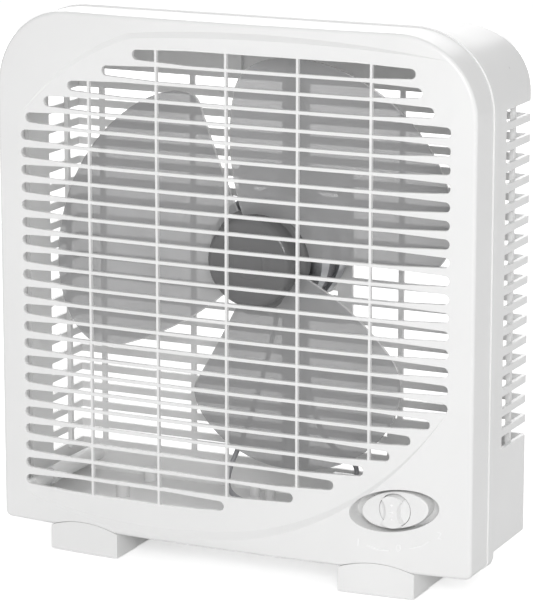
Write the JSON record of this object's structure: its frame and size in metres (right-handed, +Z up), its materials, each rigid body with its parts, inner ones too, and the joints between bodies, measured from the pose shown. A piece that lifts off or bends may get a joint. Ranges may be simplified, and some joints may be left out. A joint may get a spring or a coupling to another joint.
{
  "type": "box fan",
  "caption": "Small upright box fan: slatted bulged front shell, louvred rear shell, wide translucent impeller on a motor, corner speed dial and two feet.",
  "frame": {"origin": "on the floor, at the middle of the width and of the overall depth", "axes": "+X to the fan's right seen from the front, +Y to the back, +Z up; air leaves towards -Y"},
  "size_m": [0.3096, 0.1054, 0.332],
  "materials": {
    "white_plastic": "satin white moulding",
    "smoke_plastic": "translucent smoke grey",
    "black_plastic": "matt black",
    "rubber": "soft grey rubber",
    "zinc": "zinc plated steel",
    "brass": "plain",
    "copper": "enamelled copper wire",
    "laminations": "stacked steel laminations",
    "lead_grey": "PVC insulation"
  },
  "bodies": {
    "cabinet": {"front_grille": "white_plastic", "rear_shell": "white_plastic", "foot_left": "white_plastic", "foot_right": "white_plastic", "foot_pads": "rubber", "foot_screws": "zinc", "dial_plate": "white_plastic", "switch_body": "black_plastic", "switch_nut": "zinc", "switch_terminals": "brass", "switch_cover": "white_plastic", "stator_core": "laminations", "stator_windings": "copper", "motor_front_bell": "zinc", "motor_rear_bell": "zinc", "front_bearing": "brass", "rear_bearing": "brass", "motor_bolts": "zinc", "case_screws": "zinc", "thermal_fuse": "zinc", "cord_gland": "black_plastic", "capacitor": "white_plastic", "wire_clips": "white_plastic", "supply_leads": "lead_grey", "motor_leads": "lead_grey", "wire_connectors": "white_plastic"},
    "fan": {"impeller": "smoke_plastic", "hub_clip": "zinc", "motor_shaft": "zinc", "rotor_core": "laminations"},
    "dial": {"speed_knob": "white_plastic", "switch_spindle": "black_plastic"}
  },
  "joints": [
    {"name": "fan_spin", "type": "hinge", "parent": "cabinet", "child": "fan", "pos_m": [0, -0.01225, 0.184], "axis": [0, 1, 0], "continuous": true},
    {"name": "dial_turn", "type": "hinge", "parent": "cabinet", "child": "dial", "pos_m": [0.1074, -0.04425, 0.053], "axis": [0, 1, 0], "range_deg": [-45, 45]}
  ]
}
